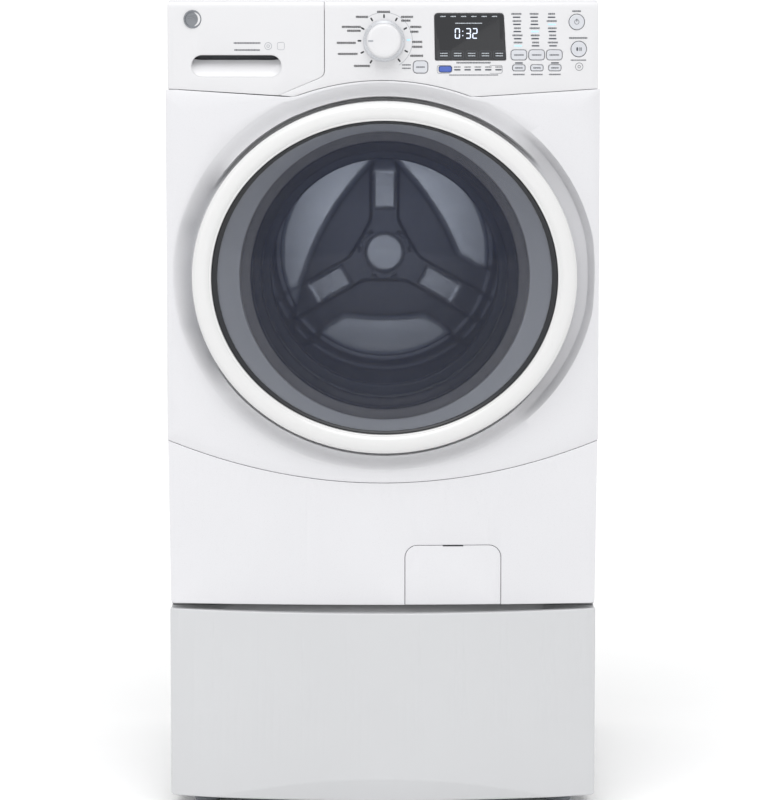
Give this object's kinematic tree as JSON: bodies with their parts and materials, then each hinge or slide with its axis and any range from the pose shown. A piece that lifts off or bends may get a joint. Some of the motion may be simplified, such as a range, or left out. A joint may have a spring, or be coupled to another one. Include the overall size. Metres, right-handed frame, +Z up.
{
  "type": "front load washing machine",
  "caption": "Front load washing machine with an oval glass door, control fascia, dispenser drawer and tapered lower panel, on a storage drawer pedestal.",
  "frame": {"origin": "on the floor, under the middle of the overall bounding box", "axes": "+Z up, -Y out of the front, +X to the right seen from the front"},
  "size_m": [0.711, 0.87, 1.345],
  "materials": {
    "white_paint": "smooth baked enamel",
    "white_plastic": "satin moulded",
    "grey_plastic": "moulded",
    "pale_plastic": "moulded",
    "black_plastic": "moulded",
    "blue_plastic": "moulded",
    "smoked_glass": "dark tint, polished",
    "clear_glass": "pressed glass",
    "gasket_rubber": "matte",
    "stainless_steel": "brushed",
    "cast_aluminium": "as cast",
    "zinc_steel": "galvanised sheet",
    "spring_steel": "oiled",
    "belt_rubber": "ribbed",
    "cast_weight": "rough cast"
  },
  "bodies": {
    "cabinet": {"cabinet_shell": "white_paint", "top_panel": "white_paint", "rear_cover": "zinc_steel", "front_panel": "white_paint", "lower_panel": "white_paint", "control_fascia": "white_plastic", "display_window": "smoked_glass", "dispenser_housing": "grey_plastic", "water_valve": "pale_plastic", "door_lock": "black_plastic", "door_hinge_leaf": "zinc_steel", "drain_pump": "black_plastic", "cord_gland": "black_plastic", "door_gasket": "gasket_rubber", "damper_cylinder_left": "black_plastic", "damper_cylinder_right": "black_plastic", "pedestal_cabinet": "white_paint", "pedestal_foot_1": "black_plastic", "pedestal_foot_2": "black_plastic", "pedestal_foot_3": "black_plastic", "pedestal_foot_4": "black_plastic", "suspension_spring_left": "spring_steel", "suspension_spring_right": "spring_steel"},
    "tub": {"tub_front": "grey_plastic", "tub_rear": "grey_plastic", "counterweight": "cast_weight", "drive_motor": "cast_aluminium", "drive_belt": "belt_rubber", "damper_rod_left": "spring_steel", "damper_rod_right": "spring_steel"},
    "drum": {"drum": "stainless_steel", "drum_baffle_1": "pale_plastic", "drum_baffle_2": "pale_plastic", "drum_baffle_3": "pale_plastic", "drum_spider": "cast_aluminium", "drum_pulley": "cast_aluminium"},
    "motor_pulley": {"motor_pulley": "spring_steel"},
    "door": {"door_ring": "white_plastic", "door_lens": "smoked_glass", "door_bowl": "clear_glass", "door_inner_frame": "pale_plastic", "door_strike": "zinc_steel", "door_hinge_arm": "zinc_steel"},
    "filter_door": {"filter_door": "white_plastic"},
    "filter_cap": {"filter_cap": "grey_plastic"},
    "dispenser": {"dispenser_front": "white_plastic", "dispenser_tray": "pale_plastic"},
    "cycle_knob": {"cycle_knob": "white_plastic"},
    "pedestal_drawer": {"pedestal_drawer_front": "white_paint", "pedestal_drawer_box": "zinc_steel"},
    "steam_button": {"steam_button": "pale_plastic"},
    "stain_button": {"stain_button": "blue_plastic"},
    "power_button": {"power_button": "pale_plastic"},
    "start_button": {"start_button": "pale_plastic"},
    "level_button_1": {"level_button_1": "pale_plastic"},
    "level_button_2": {"level_button_2": "pale_plastic"},
    "level_button_3": {"level_button_3": "pale_plastic"},
    "option_button_1": {"option_button_1": "pale_plastic"},
    "option_button_2": {"option_button_2": "pale_plastic"},
    "option_button_3": {"option_button_3": "pale_plastic"}
  },
  "joints": [
    {"name": "door_hinge", "type": "hinge", "parent": "cabinet", "child": "door", "pos_m": [-0.29, -0.395, 0.893], "axis": [0, 0, -1], "range_deg": [0, 110]},
    {"name": "tub_suspension", "type": "slide", "parent": "cabinet", "child": "tub", "axis": [0, 0, 1], "range_m": [-0.01, 0.01], "stiffness_N_per_m": 12000, "springref_m": 0.03501, "deforming": ["suspension_spring_left", "suspension_spring_right", "door_gasket"]},
    {"name": "drum_spin", "type": "hinge", "parent": "tub", "child": "drum", "pos_m": [0.003, 0, 0.893], "axis": [0, 1, 0], "continuous": true},
    {"name": "motor_spin", "type": "hinge", "parent": "tub", "child": "motor_pulley", "pos_m": [0.003, 0.3, 0.508], "axis": [0, 1, 0], "continuous": true},
    {"name": "dispenser_slide", "type": "slide", "parent": "cabinet", "child": "dispenser", "axis": [0, -1, 0], "range_m": [0, 0.2]},
    {"name": "cycle_knob_turn", "type": "hinge", "parent": "cabinet", "child": "cycle_knob", "pos_m": [0.002, -0.41, 1.279], "axis": [0, -1, 0], "continuous": true},
    {"name": "filter_door_hinge", "type": "hinge", "parent": "cabinet", "child": "filter_door", "pos_m": [0.116, -0.38866, 0.3545], "axis": [1, 0, 0], "range_deg": [0, 90]},
    {"name": "filter_cap_turn", "type": "hinge", "parent": "cabinet", "child": "filter_cap", "pos_m": [0.116, -0.345, 0.4], "axis": [0, -1, 0], "range_deg": [-90, 0]},
    {"name": "pedestal_drawer_slide", "type": "slide", "parent": "cabinet", "child": "pedestal_drawer", "axis": [0, -1, 0], "range_m": [0, 0.42]},
    {"name": "steam_button_press", "type": "slide", "parent": "cabinet", "child": "steam_button", "axis": [0, 1, 0], "range_m": [0, 0.0015], "stiffness_N_per_m": 500},
    {"name": "stain_button_press", "type": "slide", "parent": "cabinet", "child": "stain_button", "axis": [0, 1, 0], "range_m": [0, 0.0015], "stiffness_N_per_m": 500},
    {"name": "power_button_press", "type": "slide", "parent": "cabinet", "child": "power_button", "axis": [0, 1, 0], "range_m": [0, 0.0015], "stiffness_N_per_m": 500},
    {"name": "start_button_press", "type": "slide", "parent": "cabinet", "child": "start_button", "axis": [0, 1, 0], "range_m": [0, 0.0015], "stiffness_N_per_m": 500},
    {"name": "level_button_1_press", "type": "slide", "parent": "cabinet", "child": "level_button_1", "axis": [0, 1, 0], "range_m": [0, 0.0015], "stiffness_N_per_m": 500},
    {"name": "level_button_2_press", "type": "slide", "parent": "cabinet", "child": "level_button_2", "axis": [0, 1, 0], "range_m": [0, 0.0015], "stiffness_N_per_m": 500},
    {"name": "level_button_3_press", "type": "slide", "parent": "cabinet", "child": "level_button_3", "axis": [0, 1, 0], "range_m": [0, 0.0015], "stiffness_N_per_m": 500},
    {"name": "option_button_1_press", "type": "slide", "parent": "cabinet", "child": "option_button_1", "axis": [0, 1, 0], "range_m": [0, 0.0015], "stiffness_N_per_m": 500},
    {"name": "option_button_2_press", "type": "slide", "parent": "cabinet", "child": "option_button_2", "axis": [0, 1, 0], "range_m": [0, 0.0015], "stiffness_N_per_m": 500},
    {"name": "option_button_3_press", "type": "slide", "parent": "cabinet", "child": "option_button_3", "axis": [0, 1, 0], "range_m": [0, 0.0015], "stiffness_N_per_m": 500}
  ],
  "couplings": [
    {"joint": "motor_spin", "follows": "drum_spin", "ratio": 10.714}
  ]
}
